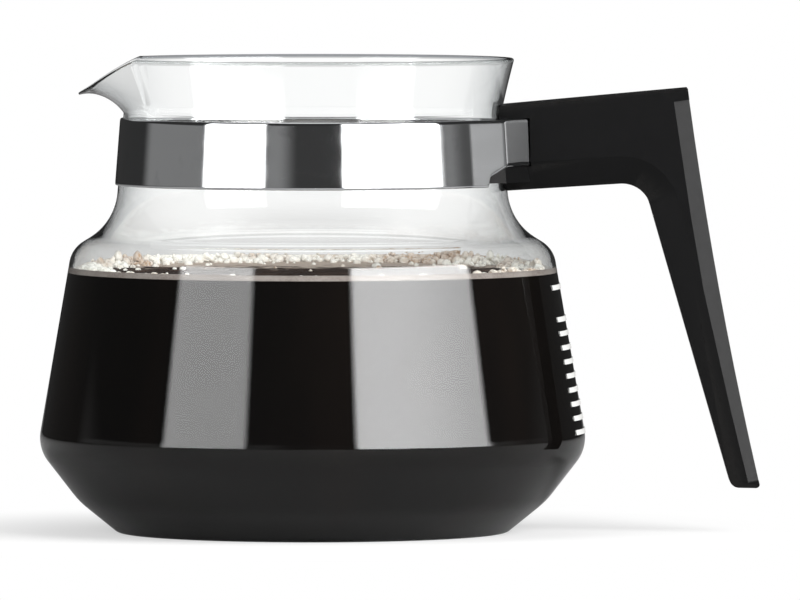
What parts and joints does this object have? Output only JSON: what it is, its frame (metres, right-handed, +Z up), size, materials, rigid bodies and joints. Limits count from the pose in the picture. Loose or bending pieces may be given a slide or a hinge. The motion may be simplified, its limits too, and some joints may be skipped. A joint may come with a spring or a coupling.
{
  "type": "glass coffee server carafe",
  "caption": "Round blown-glass coffee server with a pulled spout, a steel neck band and an angular side handle, filled with coffee.",
  "frame": {"origin": "centre of the flat base, on the jug's axis", "axes": "+Z up along the jug's axis, +X towards the handle, the spout points along -X"},
  "size_m": [0.2213, 0.1678, 0.1463],
  "materials": {
    "clear_glass": "clear blown borosilicate glass, fire-polished rim",
    "bright_steel": "bright rolled stainless strip with fine handling marks",
    "black_plastic": "fine-grained black moulding",
    "plated_steel": "bright zinc-plated steel",
    "white_enamel": "white fired-on enamel lines",
    "black_coffee": "still black filter coffee",
    "froth": "wet tan bubbles"
  },
  "bodies": {
    "root": {"glass_jug": "clear_glass", "neck_band": "bright_steel", "handle": "black_plastic", "clamp_screw": "plated_steel", "clamp_nut": "plated_steel", "level_marks": "white_enamel", "coffee": "black_coffee", "coffee_froth": "froth"}
  },
  "joints": []
}
